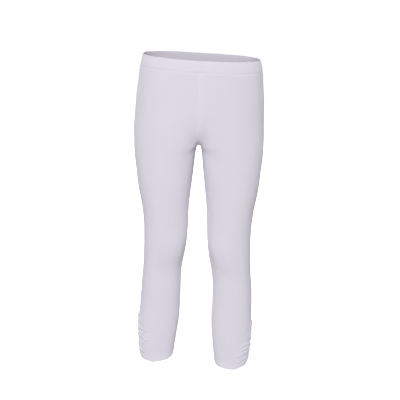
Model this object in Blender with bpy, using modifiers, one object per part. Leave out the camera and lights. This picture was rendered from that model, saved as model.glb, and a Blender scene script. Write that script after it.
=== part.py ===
"""Capri leggings: a waistband and four leg panels, hollow and standing open as when worn.

The front faces -Y, the waist is up, and the origin is the middle of the waistband. Left and right
are as seen from the front, so the right leg is at +X. Distances called down run from the waist's
upper edge towards the hems.
"""

import math

import bmesh
import bpy
import numpy as np

MM = 0.001
FRONT, BACK = -1, 1
LEFT, RIGHT = -1, 1

# Waist, crotch and hem, in metres down from the waist's upper edge
BAND_HEIGHT = 0.029
CROTCH = 0.226
HEM = 0.839

# Cloth and seams
CLOTH_WALL = 0.0015
BAND_WALL = 0.003
BAND_PROUD = 0.0006
SEAM_GAP = 0.0005

# The waistband's rows: part of its height from the top, and part of how far it stands proud
BAND_ROWS = ((0, 0.3), (0.2, 1), (0.8, 1), (1, 0.3))

# How unevenly the garment sits: the waist slopes down to the right, and so do the hems
WAIST_SLOPE = {LEFT: 0.044, RIGHT: 0.022}
LEG_DROP = 0.008
LEG_DROP_ENDS = 0.480
HEM_SLANT = {LEFT: 0.15, RIGHT: 0.06}
HEM_DIP = 0.07
HEM_SLANT_STARTS = 0.700
HEM_RISE = {LEFT: 0.0065, RIGHT: 0.0042}

# The gathers pull the hem up beside the side seam
HEM_PULL = {LEFT: 0.0045, RIGHT: 0.0065}
PULL_REACH = (0.034, 0.012)

# Roundness of the sections: 2 is an ellipse, more is squarer
HIP_POWER = 2.35
LEG_POWER = 2.1
THIGH_INNER_POWER = 2.6
THIGH_ROUND_BY = 0.400

# The seat and the front run on as one curve, then part into legs round the crotch
FRONT_PARTS = 0.100
BACK_PARTS = 0.120
PARTING_POWER = 3.0
PARTING_ENDINGS = (0.5, 2.0)
SADDLE_HALF_WIDTH = 0.030
SADDLE_REACH = 1.2
VALLEY_HALF_WIDTH = 0.016
VALLEY_ENDS = (0.020, 0.060)
VALLEY_STEPS = 9
ARCH_DEPTH = 0.014
ARCH_TURN = 0.08
ARCH_ROWS = (0.003, 0.010)
ROWS_START_BELOW_ARCH = 0.022
SEAT_HOLLOW = 0.006
SEAT_HOLLOW_HALF_WIDTH = 0.030

# A row for each section, in mm: distance down, half widths to the outer side and to the gap between
# the legs, depths to the front and back over the leg, and the shift of the whole section to the right
SECTIONS = (
    # down, outer, inner, front, back, shift
    (0, 151.5, 5, 93, 94, 0),
    (30, 157.5, 5, 96, 101, 0),
    (60, 160.5, 5, 97.5, 108, -0.5),
    (100, 165, 5, 97.5, 117, -1),
    (150, 168, 5, 96.5, 122, -2),
    (200, 170, 5, 94.5, 111, -2.5),
    (226, 169.5, 5.5, 93.5, 101, -2),
    (250, 168.5, 9, 92, 96, -2),
    (300, 163.5, 14, 88, 90, -1.5),
    (350, 157.5, 19.5, 82.5, 84.5, -1),
    (400, 148, 24.5, 75.5, 77, -0.5),
    (450, 142.5, 26, 69, 66, 0),
    (500, 141.5, 29.5, 63, 55, 0.5),
    (540, 142.5, 35.5, 56.5, 55, 1),
    (570, 144, 41, 50, 61, 1.5),
    (600, 147, 43.5, 45.5, 67, 2),
    (650, 150, 44.5, 40, 70, 2),
    (700, 152, 44.5, 36, 66, 0.5),
    (725, 154, 45.5, 34.5, 62, 0),
    (750, 151.5, 48, 33, 58, -0.5),
    (800, 148.5, 53.5, 31, 53, -1),
    (850, 144, 59.5, 30, 51, -1),
)

# A row for each gathered fold that runs out from the side seam, in mm: distance down, height,
# and length on the front and on the back
LEFT_FOLDS = (
    # down, height, front, back
    (704, 2.2, 34, 40),
    (716, 3.0, 46, 38),
    (728, 2.6, 40, 50),
    (740, 3.0, 52, 42),
    (753, 3.2, 70, 56),
    (766, 2.6, 46, 62),
    (778, 3.0, 60, 44),
    (791, 2.6, 48, 52),
    (804, 2.8, 56, 40),
    (817, 2.4, 38, 46),
)
RIGHT_FOLDS = (
    # down, height, front, back
    (705, 2.2, 36, 32),
    (717, 2.8, 40, 48),
    (730, 2.8, 48, 44),
    (743, 2.6, 44, 58),
    (755, 3.0, 56, 46),
    (767, 3.2, 60, 40),
    (779, 3.0, 80, 54),
    (792, 2.8, 62, 60),
    (805, 3.0, 72, 42),
    (818, 2.6, 46, 38),
)
FOLDS = {LEFT: LEFT_FOLDS, RIGHT: RIGHT_FOLDS}
FULL_FOR = 0.35
FOLD_SAG = 0.005
FOLD_SAG_AT = 0.040
SAG_STARTS_OVER = 0.040
SAG_ENDS_OVER = 0.025
LAST_FOLD_ENDS_BELOW = 0.006

# Grid of each panel: rows down the cloth, columns from the inner edge to the side seam
ROWS_ABOVE_CROTCH = 10
ROWS_TO_FOLDS = 16
ROWS_A_FOLD = 3
COLUMNS = 12
CLOSER_AT_SEAMS = 0.4
BAND_COLUMNS = 64
PATH_POINTS = 401


def clear_scene():
    for existing in list(bpy.data.objects):
        bpy.data.objects.remove(existing, do_unlink=True)


def ease(value, start, end):
    """Rises smoothly from 0 at start to 1 at end."""
    part = np.clip((value - start) / (end - start), 0, 1)
    return part * part * (3 - 2 * part)


def column_of(number, down):
    """One column of SECTIONS at any distance down, on a smooth curve through its rows."""
    rows = np.array(SECTIONS) * MM
    at, values = rows[:, 0], rows[:, number]
    slopes = np.gradient(values, at)
    row = np.clip(np.searchsorted(at, down) - 1, 0, len(at) - 2)
    step = at[row + 1] - at[row]
    part = (down - at[row]) / step
    rise = part * part * (3 - 2 * part)
    curve_in = part * (1 - part) ** 2 * step
    curve_out = part * part * (part - 1) * step
    straight = values[row] * (1 - rise) + values[row + 1] * rise
    return straight + curve_in * slopes[row] + curve_out * slopes[row + 1]


def inner_edge(down):
    """Half the gap between the legs, which closes in a round arch at the crotch."""
    part = np.clip((down - CROTCH) / ARCH_DEPTH, 0, 1)
    arch = np.sqrt(1 - (1 - part) ** 2)
    return np.maximum(column_of(2, down) * arch, SEAM_GAP / 2)


def power_curve(value, power):
    """How deep a rounded section is at a part of its half width, both from 0 to 1."""
    return np.clip(1 - np.clip(value, 0, 1) ** power, 0, 1) ** (1 / power)


def parting(x, down, facing):
    """1 where both legs share one surface, falling to 0 where each has gone round on its own."""
    start = FRONT_PARTS if facing == FRONT else BACK_PARTS
    from_inner = np.maximum(x - inner_edge(down), 0)
    end = CROTCH + SADDLE_REACH * from_inner
    part = np.clip((down - start) / (end - start), 0, 1)
    ending = np.interp(from_inner, (0, SADDLE_HALF_WIDTH), PARTING_ENDINGS)
    return (1 - part**PARTING_POWER) ** ending


def rounded_valley(x, y, down, facing):
    """y with the valley along the centre seam rounded out, less and less towards the crotch."""
    width = VALLEY_HALF_WIDTH * parting(0, down, facing) * (1 - ease(x, *VALLEY_ENDS))
    shifts = np.linspace(-1, 1, VALLEY_STEPS)
    return sum(np.interp(np.abs(x + width * shift), x, y) for shift in shifts) / VALLEY_STEPS


def outline(turn, down, facing):
    """The outer surface of one leg: x from the garment's middle and y, where turn runs from 0 at
    the inner edge to 1 at the side seam."""
    outer, inner = column_of(1, down), column_of(2, down)
    front, back = column_of(3, down), column_of(4, down)
    depth = (front + back) / 2
    middle, reach = (outer + inner) / 2, (outer - inner) / 2
    softening = ease(down, CROTCH, THIGH_ROUND_BY)
    inner_power = THIGH_INNER_POWER + (LEG_POWER - THIGH_INNER_POWER) * softening
    power = np.where(turn < 0.5, inner_power, LEG_POWER)
    across = np.cos(math.pi * turn)
    x = middle - reach * np.sign(across) * np.abs(across) ** (2 / power)
    x = x - (inner - inner_edge(down)) * (1 - ease(turn, 0, ARCH_TURN))
    leg = depth * np.sin(math.pi * turn) ** (2 / power)
    crown = 1 / power_curve(0.5, HIP_POWER)
    hips = depth * crown * power_curve(x / outer, HIP_POWER)
    if facing == BACK:
        hollow = ease(down, BAND_HEIGHT, BACK_PARTS) * np.exp(-((x / SEAT_HOLLOW_HALF_WIDTH) ** 2))
        hips = hips - SEAT_HOLLOW * hollow
    y = leg + (hips - leg) * parting(x, down, facing)
    return x, (back - front) / 2 + facing * y


def height(x, y, down, side):
    """z of a point, with the uneven hang of the waist and the legs."""
    leg_weight = ease(down, CROTCH, LEG_DROP_ENDS)
    hang = -side * (WAIST_SLOPE[side] * x * (1 - leg_weight) + LEG_DROP * leg_weight)
    middle = (column_of(1, down) + column_of(2, down)) / 2
    middle_y = (column_of(4, down) - column_of(3, down)) / 2
    slant = HEM_SLANT[side] * (x - middle) - HEM_DIP * (y - middle_y) - HEM_RISE[side]
    to_seam = column_of(1, down) - x
    slant = slant - HEM_PULL[side] * ease(-to_seam, -PULL_REACH[0], -PULL_REACH[1])
    return BAND_HEIGHT / 2 - down + hang - slant * ease(down, HEM_SLANT_STARTS, HEM)


def fold_height(down, from_seam, side, facing):
    """How far the gathers lift the cloth, at distances from the side seam."""
    folds = np.array(FOLDS[side]) * MM
    total = np.zeros_like(down)
    spacing = np.gradient(folds[:, 0])
    for (at, lift, front_length, back_length), gap in zip(folds, spacing, strict=True):
        length = front_length if facing == FRONT else back_length
        ridge = 0.5 + 0.5 * np.cos(math.pi * np.clip((down - at) / (0.5 * gap), -1, 1))
        fade = 1 - ease(from_seam, FULL_FOR * length, length)
        total += lift * (ridge - 0.5 * ease(gap - np.abs(down - at), 0, 0.5 * gap)) * fade
    return total


def seam_downs(facing, rows):
    """Distances down that share the centre seam out evenly, from the waistband to the crotch."""
    start = BAND_HEIGHT + SEAM_GAP
    down = start + (CROTCH - start) * np.sin(np.linspace(0, math.pi / 2, 2001))
    x, y = outline(np.zeros_like(down), down, facing)
    length = np.concatenate([[0], np.cumsum(np.hypot(np.diff(y), np.diff(down)))])
    return np.interp(np.linspace(0, length[-1], rows + 1), length, down)


def side_downs(side):
    """Distances down of the rows from the crotch: round the arch, evenly, then set by the folds."""
    folds = np.array([row[0] for row in FOLDS[side]]) * MM
    edges = np.concatenate([[2 * folds[0] - folds[1]], folds, [HEM + LAST_FOLD_ENDS_BELOW]])
    valleys = (edges[:-1] + edges[1:]) / 2
    downs = [CROTCH] + [CROTCH + row for row in ARCH_ROWS]
    downs += list(np.linspace(CROTCH + ROWS_START_BELOW_ARCH, valleys[0], ROWS_TO_FOLDS))
    for valley, following in zip(valleys[:-1], valleys[1:], strict=True):
        step = (following - valley) / ROWS_A_FOLD
        downs += [valley + step, following - step, following]
    return np.array(downs + [HEM])


def row_path(inner_down, side_down, side, facing):
    """One row of a panel as many close points, from its inner edge to the side seam."""
    turn = np.linspace(0, 1, PATH_POINTS)
    down = inner_down + (side_down - inner_down) * ease(turn, 0, 1)
    x, y = outline(turn, down, facing)
    y = rounded_valley(x, y, down, facing)
    length = np.concatenate([[0], np.cumsum(np.hypot(np.diff(x), np.diff(y)))])
    from_seam = length[-1] - length
    lift = fold_height(down, from_seam, side, facing)
    slope_x, slope_y = np.gradient(x), np.gradient(y)
    slope = np.hypot(slope_x, slope_y) + 1e-12
    out_x, out_y = -facing * -slope_y / slope, -facing * slope_x / slope
    first_fold = FOLDS[side][0][0] * MM
    in_folds = ease(down, first_fold - SAG_STARTS_OVER, first_fold)
    in_folds = in_folds * (1 - ease(down, HEM - SAG_ENDS_OVER, HEM))
    sag = FOLD_SAG * np.sin(math.pi * np.clip(from_seam / (2 * FOLD_SAG_AT), 0, 1)) * in_folds
    z = height(x, y, down, side) - sag
    x, y = x - lift * out_x, y - lift * out_y
    shifted = side * x + column_of(5, down)
    return np.stack([shifted, y, z], axis=1)


def spread(path, count, closer, inset_start, inset_end):
    """Points along a path, clear of its ends by the insets and closer together near them."""
    steps = np.linalg.norm(np.diff(path, axis=0), axis=1)
    length = np.concatenate([[0], np.cumsum(steps)])
    part = np.linspace(0, 1, count)
    part = part - closer * np.sin(2 * math.pi * part) / (2 * math.pi)
    at = inset_start + part * (length[-1] - inset_end - inset_start)
    return np.stack([np.interp(at, length, path[:, axis]) for axis in range(3)], axis=1)


def panel_points(side, facing):
    """Grid of points of one leg panel's outer surface, rows down and columns to the side seam."""
    above = seam_downs(facing, ROWS_ABOVE_CROTCH)
    above_side = np.linspace(BAND_HEIGHT + SEAM_GAP, CROTCH, ROWS_ABOVE_CROTCH + 1)
    below = side_downs(side)[1:]
    inner = np.concatenate([above, below])
    outer = np.concatenate([above_side, below])
    rows = []
    for inner_down, side_down in zip(inner, outer, strict=True):
        path = row_path(inner_down, side_down, side, facing)
        at_inseam = SEAM_GAP / 2 if side_down >= CROTCH else 0
        rows.append(spread(path, COLUMNS + 1, CLOSER_AT_SEAMS, at_inseam, SEAM_GAP / 2))
    return np.array(rows)


def band_points():
    """Grid of points round the waistband's outer surface, the last column on the first."""
    rows = []
    for part, proud in BAND_ROWS:
        down = np.full(PATH_POINTS, BAND_HEIGHT * part)
        ring = []
        for side, facing in ((RIGHT, FRONT), (RIGHT, BACK), (LEFT, BACK), (LEFT, FRONT)):
            x, y = outline(np.linspace(0, 1, PATH_POINTS), down, facing)
            stretch = 1 + BAND_PROUD * proud / x[-1]
            points = np.stack([side * x * stretch, y * stretch, height(x, y, down, side)], axis=1)
            ring.append(points if side * facing == -1 else points[::-1])
        path = np.concatenate(ring)
        rows.append(spread(path, BAND_COLUMNS + 1, 0, 0, 0))
        rows[-1][-1] = rows[-1][0]
    return np.array(rows)


def bent_grid(name, points, turned_over):
    """A mesh grid laid over the given rows and columns of points, joined where they meet."""
    rows, columns = points.shape[0] - 1, points.shape[1] - 1
    shell = bmesh.new()
    bmesh.ops.create_grid(shell, x_segments=columns, y_segments=rows, size=1)
    for vertex in shell.verts:
        column = round((vertex.co.x + 1) / 2 * columns)
        row = round((vertex.co.y + 1) / 2 * rows)
        vertex.co = points[row, column]
    bmesh.ops.remove_doubles(shell, verts=shell.verts, dist=1e-6)
    if turned_over:
        bmesh.ops.reverse_faces(shell, faces=shell.faces)
    mesh = bpy.data.meshes.new(name)
    shell.to_mesh(mesh)
    shell.free()
    mesh.shade_smooth()
    return mesh


def add_cloth(name, points, wall, turned_over, material, collection):
    """An object of cloth: the outer surface, thickened inwards."""
    mesh = bent_grid(name, points, turned_over)
    mesh.materials.append(material)
    cloth = bpy.data.objects.new(name, mesh)
    collection.objects.link(cloth)
    thickness = cloth.modifiers.new("Wall", "SOLIDIFY")
    thickness.thickness = wall
    thickness.offset = -1
    thickness.use_even_offset = True
    thickness.use_quality_normals = True
    return cloth


def cloth_material(name, colour, roughness):
    material = bpy.data.materials.new(name)
    material.use_nodes = True
    surface = material.node_tree.nodes["Principled BSDF"]
    surface.inputs["Base Color"].default_value = (*colour, 1)
    surface.inputs["Roughness"].default_value = roughness
    surface.inputs["Metallic"].default_value = 0
    surface.inputs["Sheen Weight"].default_value = 0.2
    return material


def add_waistband(collection):
    material = cloth_material("Waistband jersey", (0.78, 0.76, 0.81), 0.75)
    add_cloth("waistband", band_points(), BAND_WALL, True, material, collection)


def add_leg_panel(name, side, facing, collection):
    material = cloth_material(f"{name} jersey", (0.74, 0.72, 0.78), 0.75)
    points = panel_points(side, facing)
    add_cloth(name, points, CLOTH_WALL, side * facing == -1, material, collection)


def main():
    clear_scene()
    collection = bpy.data.collections.new("Capri leggings")
    bpy.context.scene.collection.children.link(collection)
    add_waistband(collection)
    add_leg_panel("front_left", LEFT, FRONT, collection)
    add_leg_panel("front_right", RIGHT, FRONT, collection)
    add_leg_panel("back_left", LEFT, BACK, collection)
    add_leg_panel("back_right", RIGHT, BACK, collection)


main()
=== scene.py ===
"""White capri leggings of fine jersey, with a wide waistband and gathered outer calves.

The front faces -Y, the waist is up, and the origin is the middle of the waistband. Left and right
are as seen from the front. Distances called down run from the waist's upper edge towards the hems.
"""

import math

import bmesh
import bpy
import numpy as np
from bpy.props import FloatProperty, FloatVectorProperty, PointerProperty
from mathutils import Euler, Matrix, Vector


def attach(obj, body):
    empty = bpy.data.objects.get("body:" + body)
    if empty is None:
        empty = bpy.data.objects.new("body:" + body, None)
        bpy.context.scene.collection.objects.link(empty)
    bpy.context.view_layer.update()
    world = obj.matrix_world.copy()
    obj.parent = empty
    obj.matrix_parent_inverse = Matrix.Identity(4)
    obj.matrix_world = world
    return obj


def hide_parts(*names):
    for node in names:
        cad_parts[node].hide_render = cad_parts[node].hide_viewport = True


bl_info = {
    "name": "Capri Leggings",
    "version": (1, 0, 0),
    "blender": (4, 5, 0),
    "location": "3D View > Sidebar > Leggings",
    "description": "Adds white capri leggings with gathered outer calves, and a pale studio",
    "category": "Add Mesh",
}

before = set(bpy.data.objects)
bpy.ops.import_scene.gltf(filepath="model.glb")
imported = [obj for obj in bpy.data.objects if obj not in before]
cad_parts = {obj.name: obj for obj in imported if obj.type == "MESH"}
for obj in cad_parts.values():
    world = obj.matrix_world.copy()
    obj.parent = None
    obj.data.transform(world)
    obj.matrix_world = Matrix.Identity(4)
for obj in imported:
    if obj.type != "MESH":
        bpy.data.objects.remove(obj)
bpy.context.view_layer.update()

MM = 0.001
FRONT, BACK = -1, 1
LEFT, RIGHT = -1, 1
SIDE_NAMES = {LEFT: "left", RIGHT: "right"}
PANELS = {
    "front_left": (LEFT, FRONT),
    "front_right": (RIGHT, FRONT),
    "back_left": (LEFT, BACK),
    "back_right": (RIGHT, BACK),
}

# Waist, crotch and hem, in metres down from the waist's upper edge
BAND_HEIGHT = 0.029
CROTCH = 0.226
HEM = 0.839

# How unevenly the garment sits: the waist slopes down to the right, the right leg hangs lower, and
# each hem slants
WAIST_SLOPE = {LEFT: 0.044, RIGHT: 0.022}
LEG_DROP = 0.008
LEG_DROP_ENDS = 0.480
HEM_SLANT = {LEFT: 0.15, RIGHT: 0.06}
HEM_DIP = 0.07
HEM_SLANT_STARTS = 0.700
HEM_RISE = {LEFT: 0.0065, RIGHT: 0.0042}

# The gathers pull the hem up beside the side seam
HEM_PULL = {LEFT: 0.0045, RIGHT: 0.0065}
PULL_REACH = (0.034, 0.012)

# Roundness of the sections: 2 is an ellipse, more is squarer
HIP_POWER = 2.35
LEG_POWER = 2.1
THIGH_INNER_POWER = 2.6
THIGH_ROUND_BY = 0.400

# The seat and the front run on as one curve, then part into legs round the crotch
FRONT_PARTS = 0.100
BACK_PARTS = 0.120
PARTING_POWER = 3.0
PARTING_ENDINGS = (0.5, 2.0)
SADDLE_HALF_WIDTH = 0.030
SADDLE_REACH = 1.2
VALLEY_HALF_WIDTH = 0.016
VALLEY_ENDS = (0.020, 0.060)
VALLEY_STEPS = 9
ARCH_DEPTH = 0.014
ARCH_TURN = 0.08
SEAT_HOLLOW = 0.006
SEAT_HOLLOW_HALF_WIDTH = 0.030

# A row for each section, in mm: distance down, half widths to the outer side and to the gap between
# the legs, depths to the front and back over the leg, and the shift of the whole section to the right
SECTIONS = (
    # down, outer, inner, front, back, shift
    (0, 151.5, 5, 93, 94, 0),
    (30, 157.5, 5, 96, 101, 0),
    (60, 160.5, 5, 97.5, 108, -0.5),
    (100, 165, 5, 97.5, 117, -1),
    (150, 168, 5, 96.5, 122, -2),
    (200, 170, 5, 94.5, 111, -2.5),
    (226, 169.5, 5.5, 93.5, 101, -2),
    (250, 168.5, 9, 92, 96, -2),
    (300, 163.5, 14, 88, 90, -1.5),
    (350, 157.5, 19.5, 82.5, 84.5, -1),
    (400, 148, 24.5, 75.5, 77, -0.5),
    (450, 142.5, 26, 69, 66, 0),
    (500, 141.5, 29.5, 63, 55, 0.5),
    (540, 142.5, 35.5, 56.5, 55, 1),
    (570, 144, 41, 50, 61, 1.5),
    (600, 147, 43.5, 45.5, 67, 2),
    (650, 150, 44.5, 40, 70, 2),
    (700, 152, 44.5, 36, 66, 0.5),
    (725, 154, 45.5, 34.5, 62, 0),
    (750, 151.5, 48, 33, 58, -0.5),
    (800, 148.5, 53.5, 31, 53, -1),
    (850, 144, 59.5, 30, 51, -1),
)

# A row for each gathered fold that runs out from the side seam, in mm: distance down of its upper
# crease, height, length on the front and on the back, and how far it drops by 50 mm from the seam
LEFT_FOLDS = (
    # crease, height, front, back, drop
    (706, 3.0, 32, 28, 6),
    (727, 4.6, 52, 34, 12),
    (743, 4.2, 48, 40, 7),
    (751, 5.7, 66, 34, 20),
    (759, 4.2, 42, 44, 16),
    (767, 5.4, 46, 46, 17),
    (777, 4.2, 40, 34, 15),
    (786, 4.9, 38, 52, 13),
    (796, 5.1, 42, 40, 12),
    (805, 3.8, 26, 34, 10),
    (815, 4.6, 34, 32, 9),
    (826, 3.2, 24, 26, 6),
)
RIGHT_FOLDS = (
    # crease, height, front, back, drop
    (704, 2.6, 28, 26, 5),
    (728, 4.0, 46, 32, 8),
    (742, 4.6, 46, 40, 8),
    (755, 5.4, 60, 36, 8),
    (767, 5.6, 64, 46, 9),
    (778, 5.7, 80, 40, 11),
    (788, 4.6, 46, 54, 13),
    (794, 5.7, 82, 38, 20),
    (804, 3.8, 30, 46, 12),
    (812, 5.1, 52, 42, 10),
    (820, 3.8, 32, 30, 9),
    (828, 3.5, 40, 26, 10),
)
FOLDS = {LEFT: LEFT_FOLDS, RIGHT: RIGHT_FOLDS}
FOLDS_END = 0.838
FULL_FOR = 0.30
FOLD_SAG = 0.005
FOLD_SAG_AT = 0.040
SAG_STARTS_OVER = 0.040
SAG_ENDS_OVER = 0.025
FOLD_ROUNDNESS = 3.2
FOLD_DROOP = 1.3
FOLD_SINKS = 0.40
DROP_AT = 0.050
GATHERS_RISE_OVER = (-0.012, 0.004)
GATHERS_FALL_OVER = 0.007

# Finer puckers between the folds, close to the side seam
PUCKER_SPACING = 0.0073
PUCKER_HEIGHT = 0.0004
PUCKER_LENGTH = 0.022
PUCKER_SHIFTS = 9
PUCKER_SHIFT_RATE = 130

# Unevenness along each fold: how far its crease wanders and how much its height changes, each a step
# further on from fold to fold
WANDER = 0.0009
WANDER_LENGTH = 0.021
WANDER_STEP = 2.3
UNEVEN_PART = 0.28
UNEVEN_LENGTH = 0.034
UNEVEN_STEP = 1.9

# Soft troughs and ridges at the knee and behind it, in mm: distance down, distance
# from the inner edge, half lengths down and across, height (less than 0 is a trough) and lean in
# degrees
FRONT_CREASES = (
    # down, from inner, half down, half across, height, lean
    (500, 68, 36, 38, 3.0, 0),
    (562, 66, 36, 48, -3.2, 0),
    (528, 24, 46, 12, -2.2, 4),
    (532, 110, 44, 11, -2.0, -5),
    (552, 44, 9, 24, -0.8, -12),
    (446, 84, 12, 26, -0.6, 9),
)
BACK_CREASES = (
    # down, from inner, half down, half across, height, lean
    (478, 64, 5, 36, -1.5, 6),
    (490, 84, 5, 30, -1.2, -9),
    (503, 58, 6, 34, -1.6, 3),
    (517, 78, 5, 26, -1.0, -7),
    (461, 50, 6, 24, -0.8, -10),
    (700, 62, 40, 16, 1.0, 0),
)
CREASES = {FRONT: FRONT_CREASES, BACK: BACK_CREASES}
CREASE_LEFT_SHIFT = 0.004

# The seam allowances lie inside and lift the cloth beside the seam
ALLOWANCE_WIDTH = 0.0075
ALLOWANCE_LIFT = 0.0011
ALLOWANCE_EDGE = 0.0025
ALLOWANCE_IN_HEM = 0.0003
OPEN_SIDE_LIFT = {"centre": 0.25, "side": 0.3}
WELT_ENDS_ABOVE_HEM = 0.003
SEAM_HALF_GAP = 0.00004
SEAM_TURNS = (0.0, 0.12, 0.4, 0.75, 1.1)
HEM_TURNS = (30, 60, 90, 120, 150, 180)

# Grid of each panel: rows down the cloth, columns from the inner edge to the side seam
ROWS_ABOVE_CROTCH = 56
ARCH_ROWS = (0.002, 0.005, 0.009, 0.014)
ROWS_BELOW_ARCH = 112
ROWS_START_BELOW_ARCH = 0.019
CLOSER_ROWS = 0.002
CLOSER_ROWS_FOR = 0.040
ROW_IN_FOLDS = 0.0009
COLUMNS = 68
CLOSER_AT_SEAMS = 0.45
BAND_COLUMNS = 176
BAND_FACE_ROWS = 15
BAND_SEAM_HALF_WIDTH = 0.0014
PATH_POINTS = 401
SEAM_POINTS = 2001
TINY = 1e-12

# A hem stitch: half its length as a part of the spacing, how far it stands out as a part of the
# thread's radius, and the facets of its shape
STITCH_HALF = 0.42
STITCH_STANDS_OUT = 0.3
STITCH_FACETS = (6, 5)

# Cloth finish: the shade changes broadly by a few percent, and the knit has V-shaped loops
SHADE_SCALE = 9.0
SHADE_CHANGE = 0.045
SHADE_LEAST = 0.9775
FUZZ_SCALE = 900.0
KNIT_DEPTH = 0.0002
LOOP_SLANT = 2.4
LOOP_SWELL = 0.35
COLOUR_A, COLOUR_B, MIXED_COLOUR = 6, 7, 2

# Camera and studio
CAMERA_PLACE = (-0.01234, -2.8, 0.3143)
CAMERA_PITCH = 13.63
CAMERA_ROLL = 1.45
CAMERA_LENS = 97.7
SENSOR_WIDTH = 36
FLOOR_DOWN = -0.96
FLOOR_COLOUR = (0.9, 0.9, 0.9)
STUDIO_RADIUS = 40.0
SURROUND_RADIUS = 42.0
STUDIO_CLIP = 200
LIT_PLACE = (0.0, 0.0, -0.40)
KEY_LIGHT = {"place": (-0.4, -4.6, 0.2), "size": (3.0, 3.0)}
UPPER_LIGHT = {"place": (-0.4, -10.0, 5.7), "size": (2.4, 1.6)}
REAR_LIGHT = {"place": (2.3, 4.3, 1.0), "size": (1.6, 3.0)}


def ease(value, start, end):
    """Rises smoothly from 0 at start to 1 at end."""
    part = np.clip((value - start) / (end - start), 0, 1)
    return part * part * (3 - 2 * part)


def column_of(number, down):
    """One column of SECTIONS at any distance down, on a smooth curve through its rows."""
    rows = np.array(SECTIONS) * MM
    at, values = rows[:, 0], rows[:, number]
    slopes = np.gradient(values, at)
    row = np.clip(np.searchsorted(at, down) - 1, 0, len(at) - 2)
    step = at[row + 1] - at[row]
    part = (down - at[row]) / step
    rise = part * part * (3 - 2 * part)
    curve_in = part * (1 - part) ** 2 * step
    curve_out = part * part * (part - 1) * step
    straight = values[row] * (1 - rise) + values[row + 1] * rise
    return straight + curve_in * slopes[row] + curve_out * slopes[row + 1]


def inner_edge(down):
    """Half the gap between the legs, which closes in a round arch at the crotch."""
    part = np.clip((down - CROTCH) / ARCH_DEPTH, 0, 1)
    arch = np.sqrt(1 - (1 - part) ** 2)
    return np.maximum(column_of(2, down) * arch, SEAM_HALF_GAP)


def power_curve(value, power):
    """How deep a rounded section is at a part of its half width, both from 0 to 1."""
    return np.clip(1 - np.clip(value, 0, 1) ** power, 0, 1) ** (1 / power)


def parting(x, down, facing):
    """1 where both legs share one surface, falling to 0 where each has gone round on its own."""
    start = FRONT_PARTS if facing == FRONT else BACK_PARTS
    from_inner = np.maximum(x - inner_edge(down), 0)
    end = CROTCH + SADDLE_REACH * from_inner
    part = np.clip((down - start) / (end - start), 0, 1)
    ending = np.interp(from_inner, (0, SADDLE_HALF_WIDTH), PARTING_ENDINGS)
    return (1 - part**PARTING_POWER) ** ending


def rounded_valley(x, y, down, facing):
    """y with the valley along the centre seam rounded out, less and less towards the crotch."""
    width = VALLEY_HALF_WIDTH * parting(0, down, facing) * (1 - ease(x, *VALLEY_ENDS))
    shifts = np.linspace(-1, 1, VALLEY_STEPS)
    return sum(np.interp(np.abs(x + width * shift), x, y) for shift in shifts) / VALLEY_STEPS


def outline(turn, down, facing):
    """The outer surface of one leg: x from the garment's middle and y, where turn runs from 0 at
    the inner edge to 1 at the side seam."""
    outer, inner = column_of(1, down), column_of(2, down)
    front, back = column_of(3, down), column_of(4, down)
    depth = (front + back) / 2
    middle, reach = (outer + inner) / 2, (outer - inner) / 2
    softening = ease(down, CROTCH, THIGH_ROUND_BY)
    inner_power = THIGH_INNER_POWER + (LEG_POWER - THIGH_INNER_POWER) * softening
    power = np.where(turn < 0.5, inner_power, LEG_POWER)
    across = np.cos(math.pi * turn)
    x = middle - reach * np.sign(across) * np.abs(across) ** (2 / power)
    x = x - (inner - inner_edge(down)) * (1 - ease(turn, 0, ARCH_TURN))
    leg = depth * np.sin(math.pi * turn) ** (2 / power)
    crown = 1 / power_curve(0.5, HIP_POWER)
    hips = depth * crown * power_curve(x / outer, HIP_POWER)
    if facing == BACK:
        hollow = ease(down, BAND_HEIGHT, BACK_PARTS) * np.exp(-((x / SEAT_HOLLOW_HALF_WIDTH) ** 2))
        hips = hips - SEAT_HOLLOW * hollow
    y = leg + (hips - leg) * parting(x, down, facing)
    return x, (back - front) / 2 + facing * y


def height(x, y, down, side):
    """z of a point, with the uneven hang of the waist and the legs."""
    leg_weight = ease(down, CROTCH, LEG_DROP_ENDS)
    hang = -side * (WAIST_SLOPE[side] * x * (1 - leg_weight) + LEG_DROP * leg_weight)
    middle = (column_of(1, down) + column_of(2, down)) / 2
    middle_y = (column_of(4, down) - column_of(3, down)) / 2
    slant = HEM_SLANT[side] * (x - middle) - HEM_DIP * (y - middle_y) - HEM_RISE[side]
    to_seam = column_of(1, down) - x
    slant = slant - HEM_PULL[side] * ease(-to_seam, -PULL_REACH[0], -PULL_REACH[1])
    return BAND_HEIGHT / 2 - down + hang - slant * ease(down, HEM_SLANT_STARTS, HEM)


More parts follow.
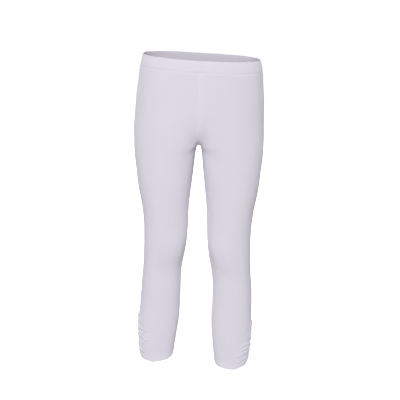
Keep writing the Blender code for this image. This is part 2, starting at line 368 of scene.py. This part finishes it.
def gathers(down, from_seam, side, facing, sizes):
    """How far the gathers lift the cloth: rounded folds that droop, with a narrow crease between
    each two, and finer puckers beside the seam."""
    folds = np.array([row[:4] for row in FOLDS[side]]) * MM
    drops = np.array([row[4] for row in FOLDS[side]]) * MM
    part = np.clip(from_seam / DROP_AT, 0, 2)
    path = part * (2 - part) * 0.5 + part * 0.5
    wander = WANDER * ease(from_seam, 0, DROP_AT / 4)
    creases = []
    for number, (at, drop) in enumerate(zip(folds[:, 0], drops, strict=True)):
        phase = 2 * math.pi * from_seam / WANDER_LENGTH + WANDER_STEP * number
        creases.append(at + drop * path + wander * np.sin(phase))
    creases.append(FOLDS_END + np.zeros_like(from_seam))
    total = np.zeros_like(down)
    for number, (_, lift, front_length, back_length) in enumerate(folds):
        length = front_length if facing == FRONT else back_length
        upper, lower = creases[number], creases[number + 1]
        place = np.clip((down - upper) / np.maximum(lower - upper, MM), 0, 1)
        inside = (down >= upper) & (down < lower)
        drooped = place**FOLD_DROOP
        profile = 1 - np.abs(2 * drooped - 1) ** FOLD_ROUNDNESS
        fade = 1 - ease(from_seam, FULL_FOR * length, length)
        phase = 2 * math.pi * from_seam / UNEVEN_LENGTH + UNEVEN_STEP * number
        fade = fade * (1 - UNEVEN_PART * np.sin(phase) ** 2)
        sunk = FOLD_SINKS * (1 - place * (1 - place) * 4)
        total += np.where(inside, lift * (profile - sunk) * fade, 0)
    rise_from, rise_to = folds[0, 0] + GATHERS_RISE_OVER[0], folds[0, 0] + GATHERS_RISE_OVER[1]
    in_folds = ease(down, rise_from, rise_to) * (1 - ease(down, FOLDS_END - GATHERS_FALL_OVER, FOLDS_END))
    shifts = PUCKER_SHIFTS * np.sin(down * PUCKER_SHIFT_RATE + side)
    puckers = np.sin(2 * math.pi * down / PUCKER_SPACING + shifts)
    near = 1 - ease(from_seam, 0, PUCKER_LENGTH)
    return sizes.gather_height * (total * in_folds + PUCKER_HEIGHT * puckers * near * in_folds)


def soft_creases(down, from_inner, side, facing):
    """How far the soft troughs and ridges away from the gathers lift the cloth."""
    total = np.zeros_like(down)
    for at_mm, inner_mm, down_mm, across_mm, lift_mm, lean in CREASES[facing]:
        shift = CREASE_LEFT_SHIFT if side == LEFT else 0
        a, b = down - at_mm * MM - shift, from_inner - inner_mm * MM + shift
        turn = math.radians(lean)
        along = a * math.cos(turn) + b * math.sin(turn)
        over = b * math.cos(turn) - a * math.sin(turn)
        total += lift_mm * MM * np.exp(-((along / (down_mm * MM)) ** 2) - (over / (across_mm * MM)) ** 2)
    return total


def seam_welt(from_edge, strength):
    """How far the allowance inside lifts the cloth beside a seam."""
    inside = 1 - ease(from_edge, ALLOWANCE_WIDTH - ALLOWANCE_EDGE, ALLOWANCE_WIDTH)
    return ALLOWANCE_LIFT * inside * strength


def seam_downs(facing, rows):
    """Distances down that share the centre seam out evenly, from the waistband to the crotch."""
    down = BAND_HEIGHT + (CROTCH - BAND_HEIGHT) * np.sin(np.linspace(0, math.pi / 2, SEAM_POINTS))
    x, y = outline(np.zeros_like(down), down, facing)
    length = np.concatenate([[0], np.cumsum(np.hypot(np.diff(y), np.diff(down)))])
    return np.interp(np.linspace(0, length[-1], rows + 1), length, down)


def side_downs(side):
    """Distances down of the rows below the crotch: round the arch, evenly, then close in the folds."""
    first_fold = FOLDS[side][0][0] * MM - 2 * SAG_ENDS_OVER
    downs = [CROTCH] + [CROTCH + row for row in ARCH_ROWS]
    downs += list(np.linspace(CROTCH + ROWS_START_BELOW_ARCH, first_fold, ROWS_BELOW_ARCH))
    closer = first_fold + CLOSER_ROWS_FOR
    downs += list(np.arange(first_fold + CLOSER_ROWS, closer, CLOSER_ROWS))
    return np.array(downs + list(np.arange(closer, HEM, ROW_IN_FOLDS)) + [HEM])


def row_path(inner_down, side_down, side, facing, sizes):
    """One row of a panel as many close points, from its inner edge to the side seam."""
    turn = np.linspace(0, 1, PATH_POINTS)
    down = inner_down + (side_down - inner_down) * ease(turn, 0, 1)
    x, y = outline(turn, down, facing)
    y = rounded_valley(x, y, down, facing)
    length = np.concatenate([[0], np.cumsum(np.hypot(np.diff(x), np.diff(y)))])
    from_seam = length[-1] - length
    lift = gathers(down, from_seam, side, facing, sizes)
    lift += soft_creases(down, length, side, facing)
    above_hem = 1 - ease(down, HEM - WELT_ENDS_ABOVE_HEM, HEM)
    centre_strength = 1.0 if (side == LEFT) == (facing == FRONT) else OPEN_SIDE_LIFT["centre"]
    side_strength = 1.0 if facing == BACK else OPEN_SIDE_LIFT["side"]
    lift += seam_welt(length, centre_strength) * above_hem
    lift += seam_welt(from_seam, side_strength) * above_hem
    slope_x, slope_y = np.gradient(x), np.gradient(y)
    slope = np.hypot(slope_x, slope_y) + TINY
    in_x, in_y = facing * -slope_y / slope, facing * slope_x / slope
    first_fold = FOLDS[side][0][0] * MM
    in_folds = ease(down, first_fold - SAG_STARTS_OVER, first_fold)
    in_folds = in_folds * (1 - ease(down, HEM - SAG_ENDS_OVER, HEM))
    sag = FOLD_SAG * np.sin(math.pi * np.clip(from_seam / (2 * FOLD_SAG_AT), 0, 1)) * in_folds
    z = height(x, y, down, side) - sag
    x, y = x + lift * in_x, y + lift * in_y
    shifted = side * x + column_of(5, down)
    return np.stack([shifted, y, z], axis=1), length


def spread(path, count, closer, inset_start, inset_end):
    """Points along a path, clear of its ends by the insets and closer together near them."""
    steps = np.linalg.norm(np.diff(path, axis=0), axis=1)
    length = np.concatenate([[0], np.cumsum(steps)])
    part = np.linspace(0, 1, count)
    part = part - closer * np.sin(2 * math.pi * part) / (2 * math.pi)
    at = inset_start + part * (length[-1] - inset_end - inset_start)
    return at, length


def at_lengths(path, length, at):
    return np.stack([np.interp(at, length, path[:, axis]) for axis in range(3)], axis=1)


def grid_normals(points, outwards):
    """Unit normals of a grid of points, turned to the side that outwards gives."""
    down = np.gradient(points, axis=0)
    across = np.gradient(points, axis=1)
    normals = np.cross(across, down) * outwards
    return normals / (np.linalg.norm(normals, axis=2, keepdims=True) + TINY)


def panel_points(side, facing, sizes):
    """Grid of points of one leg panel's outer surface with its turned edges, and their places on
    the flat cloth."""
    above = seam_downs(facing, ROWS_ABOVE_CROTCH)
    above_side = np.linspace(BAND_HEIGHT, CROTCH, ROWS_ABOVE_CROTCH + 1)
    below = side_downs(side)[1:]
    inner, outer = np.concatenate([above, below]), np.concatenate([above_side, below])
    near = np.array(SEAM_TURNS) * sizes.seam_roll
    rows, places = [], []
    for inner_down, side_down in zip(inner, outer, strict=True):
        path, _ = row_path(inner_down, side_down, side, facing, sizes)
        at_inner = SEAM_HALF_GAP if side_down >= CROTCH else 0
        first = at_inner + near[-1]
        at, length = spread(path, COLUMNS + 1, CLOSER_AT_SEAMS, first, near[-1] + SEAM_HALF_GAP)
        at = np.concatenate([at_inner + near[:-1], at, length[-1] - SEAM_HALF_GAP - near[-2::-1]])
        rows.append(at_lengths(path, length, at))
        places.append(np.stack([at, np.full_like(at, side_down)], axis=1))
    points, places = np.array(rows), np.array(places)
    normals = grid_normals(points, side * facing)
    roll = sizes.seam_roll
    across = np.minimum(places[:, :, 0] - places[:, :1, 0], places[:, -1:, 0] - places[:, :, 0])
    downwards = places[:, :, 1] - places[:1, :, 1]
    turned = np.zeros_like(across)
    for distance in (across, downwards):
        bend = np.clip(1 - distance / roll, 0, 1)
        turned = np.maximum(turned, roll * (1 - np.sqrt(1 - bend**2)))
    points = points - normals * turned[:, :, None]
    points, places, normals = turned_hem(points, places, normals, sizes)
    return with_allowances(points, places, normals, sizes)


def turned_hem(points, places, normals, sizes):
    """The grid with its lower edge folded up inside."""
    radius = sizes.hem_fold
    down = points[-1] - points[-2]
    down /= np.linalg.norm(down, axis=1, keepdims=True) + TINY
    edge, edge_normals = points[-1], normals[-1]
    rows, flat, facings = list(points), list(places), list(normals)
    for degrees in HEM_TURNS:
        angle = math.radians(degrees)
        outwards = edge_normals * (radius * (math.cos(angle) - 1))
        rows.append(edge + outwards + down * (radius * math.sin(angle)))
        flat.append(places[-1] + (0, radius * angle))
        facings.append(edge_normals * math.cos(angle) + down * math.sin(angle))
    above = HEM - places[:, 0, 1]
    for row in reversed(np.flatnonzero((above > MM) & (above < sizes.hem_allowance))[::2]):
        rows.append(points[row] - normals[row] * (2 * radius))
        flat.append(places[-1] + (0, radius * math.pi + above[row]))
        facings.append(-normals[row])
    return np.array(rows), np.array(flat), np.array(facings)


def with_allowances(points, places, normals, sizes):
    """The grid with its seam allowances standing inwards along both sides and the top."""
    above_hem = places[:, :1, 1] < HEM - sizes.hem_allowance - MM
    depth = np.where(above_hem, sizes.seam_allowance, ALLOWANCE_IN_HEM)[:, :, None]
    start = points[:, :1] - normals[:, :1] * depth
    end = points[:, -1:] - normals[:, -1:] * depth
    points = np.concatenate([start, points, end], axis=1)
    across = depth * (1, 0)
    places = np.concatenate([places[:, :1] - across, places, places[:, -1:] + across], axis=1)
    normals = np.concatenate([normals[:, :1], normals, normals[:, -1:]], axis=1)
    top = points[:1] - normals[:1] * (0.5 * sizes.seam_allowance)
    points = np.concatenate([top, points])
    places = np.concatenate([places[:1] - (0, 0.5 * sizes.seam_allowance), places])
    return points, places


def double_layers(places, sizes):
    """1 where the cloth lies double, over the seam allowances and the hem, falling to 0 elsewhere."""
    from_start = places[:, :, 0] - places[:, :1, 0]
    from_end = places[:, -1:, 0] - places[:, :, 0]
    width = sizes.seam_allowance + ALLOWANCE_WIDTH
    at_seams = 1 - ease(np.minimum(from_start, from_end), width - ALLOWANCE_EDGE, width)
    hem_starts = HEM - sizes.hem_allowance
    return np.maximum(at_seams, ease(places[:, :, 1], hem_starts - MM, hem_starts + MM))


def bent_grid(points, places, doubled, turned_over):
    """A mesh grid laid over the given rows and columns of points, with their flat places as UVs and
    the layers of cloth there as an attribute."""
    rows, columns = points.shape[0] - 1, points.shape[1] - 1
    shell = bmesh.new()
    bmesh.ops.create_grid(shell, x_segments=columns, y_segments=rows, size=1)
    flat = shell.loops.layers.uv.new("cloth")
    layers = shell.verts.layers.float.new("doubled")
    for face in shell.faces:
        for loop in face.loops:
            column = round((loop.vert.co.x + 1) / 2 * columns)
            row = round((loop.vert.co.y + 1) / 2 * rows)
            loop[flat].uv = places[row, column]
    for vertex in shell.verts:
        column = round((vertex.co.x + 1) / 2 * columns)
        row = round((vertex.co.y + 1) / 2 * rows)
        vertex.co = points[row, column]
        vertex[layers] = doubled[row, column]
    bmesh.ops.remove_doubles(shell, verts=shell.verts, dist=1e-6)
    if turned_over:
        bmesh.ops.reverse_faces(shell, faces=shell.faces)
    return shell


def object_from(shell, name, material):
    mesh = bpy.data.meshes.new(name)
    shell.to_mesh(mesh)
    shell.free()
    mesh.shade_smooth()
    mesh.materials.append(material)
    thing = bpy.data.objects.new(name, mesh)
    bpy.context.scene.collection.objects.link(thing)
    return thing


class NodeSheet:
    """Adds shader nodes to a material and links them."""

    def __init__(self, tree):
        self.tree = tree

    def add(self, kind, **inputs):
        node = self.tree.nodes.new(kind)
        for name, value in inputs.items():
            self.join(node.inputs[name.replace("_", " ")], value)
        return node

    def join(self, socket, value):
        if isinstance(value, bpy.types.NodeSocket):
            self.tree.links.new(value, socket)
        else:
            socket.default_value = value

    def math(self, operation, first, second=0.0):
        node = self.tree.nodes.new("ShaderNodeMath")
        node.operation = operation
        self.join(node.inputs[0], first)
        self.join(node.inputs[1], second)
        return node.outputs[0]


def knitted_height(sheet, wale, course):
    """Relief of fine jersey: columns of small V-shaped loops along the cloth."""
    flat = sheet.tree.nodes.new("ShaderNodeUVMap")
    flat.uv_map = "cloth"
    parts = sheet.add("ShaderNodeSeparateXYZ", Vector=flat.outputs["UV"])
    across = sheet.math("MULTIPLY", parts.outputs["X"], math.pi / wale)
    column = sheet.math("ABSOLUTE", sheet.math("SINE", across))
    slanted = sheet.math("MULTIPLY", column, LOOP_SLANT)
    down = sheet.math("ADD", sheet.math("MULTIPLY", parts.outputs["Y"], 2 * math.pi / course), slanted)
    loops = sheet.math("MULTIPLY_ADD", sheet.math("SINE", down), LOOP_SWELL)
    loops.node.inputs[2].default_value = 1 - LOOP_SWELL
    return sheet.math("MULTIPLY", column, loops)


def jersey_material(name, looks):
    """Matte white knit, lighter where it lies double, with a soft sheen and a fine bump."""
    material = bpy.data.materials.new(name)
    material.use_nodes = True
    sheet = NodeSheet(material.node_tree)
    surface = material.node_tree.nodes["Principled BSDF"]
    place = sheet.add("ShaderNodeTexCoord").outputs["Object"]
    broad = sheet.add("ShaderNodeTexNoise", Vector=place, Scale=SHADE_SCALE, Detail=3.0)
    fine = sheet.add("ShaderNodeTexNoise", Vector=place, Scale=FUZZ_SCALE, Detail=2.0)
    layers = sheet.tree.nodes.new("ShaderNodeAttribute")
    layers.attribute_name = "doubled"
    colour = sheet.add("ShaderNodeMix")
    colour.data_type = "RGBA"
    sheet.join(colour.inputs["Factor"], layers.outputs["Fac"])
    colour.inputs[COLOUR_A].default_value = (*looks.jersey_colour, 1)
    colour.inputs[COLOUR_B].default_value = (*looks.doubled_colour, 1)
    shade = sheet.math("MULTIPLY_ADD", broad.outputs["Fac"], SHADE_CHANGE)
    shade.node.inputs[2].default_value = SHADE_LEAST
    toned = sheet.add("ShaderNodeHueSaturation", Color=colour.outputs[MIXED_COLOUR], Value=shade)
    sheet.join(surface.inputs["Base Color"], toned.outputs["Color"])
    relief = knitted_height(sheet, looks.knit_wale, looks.knit_course)
    fuzzy = sheet.math("MULTIPLY", fine.outputs["Fac"], 0.5)
    bump = sheet.add("ShaderNodeBump", Strength=looks.knit_relief, Distance=KNIT_DEPTH)
    sheet.join(bump.inputs["Height"], sheet.math("ADD", relief, fuzzy))
    sheet.join(surface.inputs["Normal"], bump.outputs["Normal"])
    surface.inputs["Roughness"].default_value = 0.8
    surface.inputs["Diffuse Roughness"].default_value = 0.6
    surface.inputs["Specular IOR Level"].default_value = 0.2
    surface.inputs["Sheen Weight"].default_value = 0.06
    surface.inputs["Sheen Roughness"].default_value = 0.5
    return material


def plain_material(name, colour, roughness, glow=0.0):
    material = bpy.data.materials.new(name)
    material.use_nodes = True
    surface = material.node_tree.nodes["Principled BSDF"]
    surface.inputs["Base Color"].default_value = (*colour, 1)
    surface.inputs["Roughness"].default_value = roughness
    surface.inputs["Emission Color"].default_value = (1, 1, 1, 1)
    surface.inputs["Emission Strength"].default_value = glow
    return material


def give_wall(thing, thickness):
    wall = thing.modifiers.new("Cloth wall", "SOLIDIFY")
    wall.thickness = thickness
    wall.offset = -1
    wall.use_quality_normals = True


def add_leg_panel(name, side, facing, sizes, looks):
    """One leg panel, with its seam allowances, gathers and turned-up hem."""
    points, places = panel_points(side, facing, sizes)
    shell = bent_grid(points, places, double_layers(places, sizes), side * facing == -1)
    material = jersey_material(f"{name} jersey", looks)
    panel = object_from(shell, f"{name}_cloth", material)
    give_wall(panel, sizes.cloth_wall)
    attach(panel, "root")
    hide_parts(name)
    return panel


def hem_stitch_lines(side, facing, sizes):
    """The two rows of hem stitches on one panel: points, directions and outward directions."""
    for row in (0, 1):
        down = HEM - sizes.hem_allowance + row * sizes.stitch_row_gap
        path, _ = row_path(down, down, side, facing, sizes)
        above, _ = row_path(down - MM, down - MM, side, facing, sizes)
        steps = np.linalg.norm(np.diff(path, axis=0), axis=1)
        length = np.concatenate([[0], np.cumsum(steps)])
        count = round(length[-1] / sizes.stitch_length)
        at = (np.arange(count) + 0.5) * length[-1] / count
        points = at_lengths(path, length, at)
        ahead = at_lengths(path, length, np.minimum(at + MM, length[-1]))
        along = ahead - at_lengths(path, length, at - MM)
        upwards = at_lengths(above, length, at) - points
        outwards = np.cross(along, upwards) * (side * facing)
        yield points, along, outwards


def add_hem_stitches(side, sizes, looks, material):
    """Small thread stitches in two rows round one hem."""
    thread = bmesh.new()
    half = STITCH_HALF * sizes.stitch_length
    for facing in (FRONT, BACK):
        for points, along, outwards in hem_stitch_lines(side, facing, sizes):
            for place, ahead, out in zip(points, along, outwards, strict=True):
                ahead, out = Vector(ahead).normalized(), Vector(out).normalized()
                across = out.cross(ahead)
                axes = Matrix((ahead, across, out)).transposed().to_4x4()
                size = Matrix.Diagonal((half, sizes.thread_radius, sizes.thread_radius, 1))
                spot = Matrix.Translation(Vector(place) + out * (STITCH_STANDS_OUT * sizes.thread_radius))
                bmesh.ops.create_uvsphere(
                    thread, u_segments=STITCH_FACETS[0], v_segments=STITCH_FACETS[1], radius=1.0,
                    matrix=spot @ axes @ size,
                )
    name = f"hem_stitches_{SIDE_NAMES[side]}"
    stitches = object_from(thread, name, material)
    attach(stitches, "root")
    return stitches


def band_profile(sizes):
    """The waistband's cross-section, as pairs of distance down and distance out from its face."""
    half = sizes.band_wall / 2
    parts = np.linspace(half / BAND_HEIGHT, 1 - sizes.seam_roll / BAND_HEIGHT, BAND_FACE_ROWS)
    face = [(part * BAND_HEIGHT, sizes.band_crown * (1 - (2 * part - 1) ** 4)) for part in parts]
    inner = [(down, -sizes.band_wall) for down, _ in reversed(face)]
    angles = [math.radians(degrees) for degrees in HEM_TURNS[:-1]]
    corner = sizes.seam_roll
    low, deep = BAND_HEIGHT - corner, sizes.band_wall - corner
    lower = [(low + corner * math.sin(a), -corner + corner * math.cos(a)) for a in angles[:3]]
    lower += [(low + corner * math.sin(a), -deep + corner * math.cos(a)) for a in angles[2:]]
    upper = [(half - half * math.sin(a), -half - half * math.cos(a)) for a in angles]
    return face + lower + inner + upper


def band_ring(down):
    """Close points round the band's outer surface, and the same length shared out evenly."""
    ring = []
    for side, facing in ((RIGHT, FRONT), (RIGHT, BACK), (LEFT, BACK), (LEFT, FRONT)):
        downs = np.full(PATH_POINTS, down)
        x, y = outline(np.linspace(0, 1, PATH_POINTS), downs, facing)
        points = np.stack([side * x, y, height(x, y, downs, side)], axis=1)
        ring.append((points if side * facing == -1 else points[::-1])[:-1])
    path = np.concatenate(ring + [ring[0][:1]])
    length = np.concatenate([[0], np.cumsum(np.linalg.norm(np.diff(path, axis=0), axis=1))])
    return at_lengths(path, length, np.linspace(0, length[-1], BAND_COLUMNS + 1)), length[-1]


def add_waistband(sizes, looks):
    """The folded waistband with its elastic inside, closed by a seam at the centre back."""
    rows, places = [], []
    flat_down = 0
    last = None
    for down, out in band_profile(sizes):
        ring, girth = band_ring(down)
        tangent = np.roll(ring[:-1], -1, axis=0) - np.roll(ring[:-1], 1, axis=0)
        outwards = np.stack([tangent[:, 1], -tangent[:, 0], np.zeros(len(tangent))], axis=1)
        outwards /= np.linalg.norm(outwards, axis=1, keepdims=True)
        flat_across = np.linspace(0, girth, BAND_COLUMNS + 1)
        around = flat_across[:-1]
        seam = np.exp(-(((around - girth / 2) / BAND_SEAM_HALF_WIDTH) ** 2))
        lift = out - sizes.seam_roll * seam * (1 if out > -0.5 * sizes.band_wall else 0)
        row = ring[:-1] + outwards * np.reshape(lift, (-1, 1))
        flat_down += 0 if last is None else math.hypot(down - last[0], out - last[1])
        last = (down, out)
        rows.append(np.concatenate([row, row[:1]]))
        places.append(np.stack([flat_across, np.full_like(flat_across, flat_down)], axis=1))
    rows.append(rows[0])
    places.append(places[0] + (0, flat_down))
    places = np.array(places)
    shell = bent_grid(np.array(rows), places, np.ones(places.shape[:2]), False)
    bmesh.ops.recalc_face_normals(shell, faces=shell.faces)
    material = jersey_material("waistband jersey", looks)
    band = object_from(shell, "waistband_cloth", material)
    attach(band, "root")
    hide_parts("waistband")
    return band


def add_area_light(name, place, size, power):
    """A white rectangular light that faces the middle of the legs."""
    lamp = bpy.data.lights.new(name, "AREA")
    lamp.shape = "RECTANGLE"
    lamp.size, lamp.size_y = size
    lamp.energy = power
    thing = bpy.data.objects.new(name, lamp)
    thing.location = place
    thing.rotation_euler = (Vector(LIT_PLACE) - Vector(place)).to_track_quat("-Z", "Y").to_euler()
    bpy.context.scene.collection.objects.link(thing)


def add_camera():
    lens = bpy.data.cameras.new("Camera")
    lens.lens = CAMERA_LENS
    lens.sensor_width = SENSOR_WIDTH
    lens.clip_end = STUDIO_CLIP
    camera = bpy.data.objects.new("Camera", lens)
    camera.location = CAMERA_PLACE
    camera.rotation_euler = Euler((math.radians(90 - CAMERA_PITCH), math.radians(-CAMERA_ROLL), 0))
    bpy.context.scene.collection.objects.link(camera)
    bpy.context.scene.camera = camera


def add_floor_and_surround(studio):
    """A pale floor, and a pale surround that only the camera sees."""
    disc = bmesh.new()
    bmesh.ops.create_circle(disc, cap_ends=True, segments=96, radius=STUDIO_RADIUS)
    bmesh.ops.translate(disc, verts=disc.verts, vec=(0, 0, FLOOR_DOWN))
    floor_finish = plain_material("Pale floor", FLOOR_COLOUR, 0.9, studio.floor_glow)
    floor = object_from(disc, "floor", floor_finish)
    dome = bmesh.new()
    bmesh.ops.create_uvsphere(dome, u_segments=48, v_segments=24, radius=SURROUND_RADIUS)
    bmesh.ops.reverse_faces(dome, faces=dome.faces)
    surround = object_from(dome, "surround", plain_material("Pale surround", (0, 0, 0), 1.0, 1.0))
    for thing in (floor, surround):
        thing.visible_diffuse = False
        thing.visible_glossy = False
    surround.visible_shadow = False


class LEGGINGS_PG_sizes(bpy.types.PropertyGroup):
    """Sizes of the cloth, seams, gathers and hems"""

    cloth_wall: FloatProperty(
        name="Cloth thickness", description="Thickness of the leg cloth", default=0.0007,
        min=0.0003, max=0.003, precision=4, subtype="DISTANCE", unit="LENGTH",
    )
    band_wall: FloatProperty(
        name="Waistband thickness", description="Thickness of the folded waistband with its elastic",
        default=0.0028, min=0.001, max=0.006, precision=4, subtype="DISTANCE", unit="LENGTH",
    )
    band_crown: FloatProperty(
        name="Waistband crown", description="How far the waistband swells out in the middle of its height",
        default=0.0009, min=0.0, max=0.004, precision=4, subtype="DISTANCE", unit="LENGTH",
    )
    gather_height: FloatProperty(
        name="Gather height", description="Height of the gathers, as a part of that in the tables",
        default=1.0, min=0.0, max=2.0, subtype="FACTOR",
    )
    seam_roll: FloatProperty(
        name="Seam roll", description="Radius with which the cloth turns in at a seam",
        default=0.00025, min=0.0002, max=0.003, precision=5, subtype="DISTANCE", unit="LENGTH",
    )
    seam_allowance: FloatProperty(
        name="Seam allowance", description="How far the cloth stands inwards at a seam",
        default=0.004, min=0.001, max=0.01, precision=4, subtype="DISTANCE", unit="LENGTH",
    )
    hem_allowance: FloatProperty(
        name="Hem allowance", description="How far the hem is turned up inside",
        default=0.019, min=0.008, max=0.04, precision=4, subtype="DISTANCE", unit="LENGTH",
    )
    hem_fold: FloatProperty(
        name="Hem fold", description="Radius of the fold along the hem",
        default=0.0008, min=0.0004, max=0.003, precision=4, subtype="DISTANCE", unit="LENGTH",
    )
    stitch_length: FloatProperty(
        name="Stitch length", description="Length of one hem stitch",
        default=0.0026, min=0.001, max=0.006, precision=4, subtype="DISTANCE", unit="LENGTH",
    )
    stitch_row_gap: FloatProperty(
        name="Stitch row gap", description="Distance between the two rows of hem stitches",
        default=0.004, min=0.001, max=0.01, precision=4, subtype="DISTANCE", unit="LENGTH",
    )
    thread_radius: FloatProperty(
        name="Thread radius", description="Radius of the sewing thread",
        default=0.00022, min=0.0001, max=0.001, precision=5, subtype="DISTANCE", unit="LENGTH",
    )


class LEGGINGS_PG_looks(bpy.types.PropertyGroup):
    """Colours and knit of the cloth"""

    jersey_colour: FloatVectorProperty(
        name="Leg colour", description="Colour of the leg jersey", default=(0.715, 0.69, 0.765),
        min=0.0, max=1.0, size=3, subtype="COLOR",
    )
    doubled_colour: FloatVectorProperty(
        name="Colour of double cloth", default=(0.735, 0.71, 0.78),
        description="Colour where the jersey lies double, as on the waistband, the seams and the hems",
        min=0.0, max=1.0, size=3, subtype="COLOR",
    )
    thread_colour: FloatVectorProperty(
        name="Thread colour", description="Colour of the sewing thread", default=(0.70, 0.68, 0.75),
        min=0.0, max=1.0, size=3, subtype="COLOR",
    )
    knit_wale: FloatProperty(
        name="Knit column", description="Width of one column of knitted loops",
        default=0.0008, min=0.0003, max=0.003, precision=5, subtype="DISTANCE", unit="LENGTH",
    )
    knit_course: FloatProperty(
        name="Knit row", description="Height of one row of knitted loops",
        default=0.0006, min=0.0003, max=0.003, precision=5, subtype="DISTANCE", unit="LENGTH",
    )
    knit_relief: FloatProperty(
        name="Knit relief", description="Strength of the knit's bump", default=0.3,
        min=0.0, max=1.0, subtype="FACTOR",
    )


class LEGGINGS_PG_studio(bpy.types.PropertyGroup):
    """Lights and surround"""

    key_power: FloatProperty(
        name="Key light", description="Power of the large light at the front", default=110.0,
        min=0.0, max=500.0, subtype="POWER", unit="POWER",
    )
    upper_power: FloatProperty(
        name="Upper light", description="Power of the light high up at the front", default=710.0,
        min=0.0, max=5000.0, subtype="POWER", unit="POWER",
    )
    rear_power: FloatProperty(
        name="Rear lights", description="Power of each of the two lights behind", default=130.0,
        min=0.0, max=1000.0, subtype="POWER", unit="POWER",
    )
    ambient: FloatProperty(
        name="Ambient light", description="Strength of the even light from all round", default=0.14,
        min=0.0, max=3.0,
    )
    floor_glow: FloatProperty(
        name="Floor brightness", description="Light that the pale floor gives off", default=0.9,
        min=0.0, max=3.0,
    )


class LEGGINGS_OT_add_leg_panels(bpy.types.Operator):
    """Add the four leg panels with their seams, gathers and hems"""

    bl_idname = "leggings.add_leg_panels"
    bl_label = "Add Leg Panels"

    def execute(self, context):
        sizes, looks = context.scene.leggings_sizes, context.scene.leggings_looks
        thread = plain_material("sewing thread", looks.thread_colour, 0.5)
        stitches = {side: add_hem_stitches(side, sizes, looks, thread) for side in (LEFT, RIGHT)}
        for name, (side, facing) in PANELS.items():
            panel = add_leg_panel(name, side, facing, sizes, looks)
        return {"FINISHED"}


class LEGGINGS_OT_add_waistband(bpy.types.Operator):
    """Add the folded waistband"""

    bl_idname = "leggings.add_waistband"
    bl_label = "Add Waistband"

    def execute(self, context):
        band = add_waistband(context.scene.leggings_sizes, context.scene.leggings_looks)
        return {"FINISHED"}


class LEGGINGS_OT_add_studio(bpy.types.Operator):
    """Add the pale floor, the soft lights and the camera"""

    bl_idname = "leggings.add_studio"
    bl_label = "Add Studio"

    def execute(self, context):
        studio = context.scene.leggings_studio
        add_floor_and_surround(studio)
        add_area_light("Key light", **KEY_LIGHT, power=studio.key_power)
        add_area_light("Upper light", **UPPER_LIGHT, power=studio.upper_power)
        across, behind, up = REAR_LIGHT["place"]
        for side in (LEFT, RIGHT):
            name, place = f"Rear light {SIDE_NAMES[side]}", (side * across, behind, up)
            add_area_light(name, place, REAR_LIGHT["size"], studio.rear_power)
        world = bpy.data.worlds.new("Soft studio")
        world.use_nodes = True
        light = world.node_tree.nodes["Background"]
        light.inputs["Color"].default_value = (1, 1, 1, 1)
        light.inputs["Strength"].default_value = studio.ambient
        context.scene.world = world
        context.scene.view_settings.view_transform = "Standard"
        add_camera()
        return {"FINISHED"}


class LEGGINGS_PT_sidebar(bpy.types.Panel):
    """Sizes, colours and buttons for the leggings"""

    bl_label = "Leggings"
    bl_idname = "LEGGINGS_PT_sidebar"
    bl_space_type = "VIEW_3D"
    bl_region_type = "UI"
    bl_category = "Leggings"

    def draw(self, context):
        for group in (
            context.scene.leggings_sizes, context.scene.leggings_looks, context.scene.leggings_studio,
        ):
            box = self.layout.box()
            for name in group.__annotations__:
                box.prop(group, name)
        for operator in OPERATORS:
            self.layout.operator(operator.bl_idname)


OPERATORS = (LEGGINGS_OT_add_studio, LEGGINGS_OT_add_waistband, LEGGINGS_OT_add_leg_panels)
GROUPS = {
    "leggings_sizes": LEGGINGS_PG_sizes,
    "leggings_looks": LEGGINGS_PG_looks,
    "leggings_studio": LEGGINGS_PG_studio,
}


def register():
    for kind in (*GROUPS.values(), *OPERATORS, LEGGINGS_PT_sidebar):
        bpy.utils.register_class(kind)
    for name, group in GROUPS.items():
        setattr(bpy.types.Scene, name, PointerProperty(type=group))


def unregister():
    for name in GROUPS:
        delattr(bpy.types.Scene, name)
    for kind in (LEGGINGS_PT_sidebar, *reversed(OPERATORS), *reversed(GROUPS.values())):
        bpy.utils.unregister_class(kind)


def main():
    register()
    bpy.ops.leggings.add_studio()
    bpy.ops.leggings.add_waistband()
    bpy.ops.leggings.add_leg_panels()


if __name__ == "__main__":
    main()
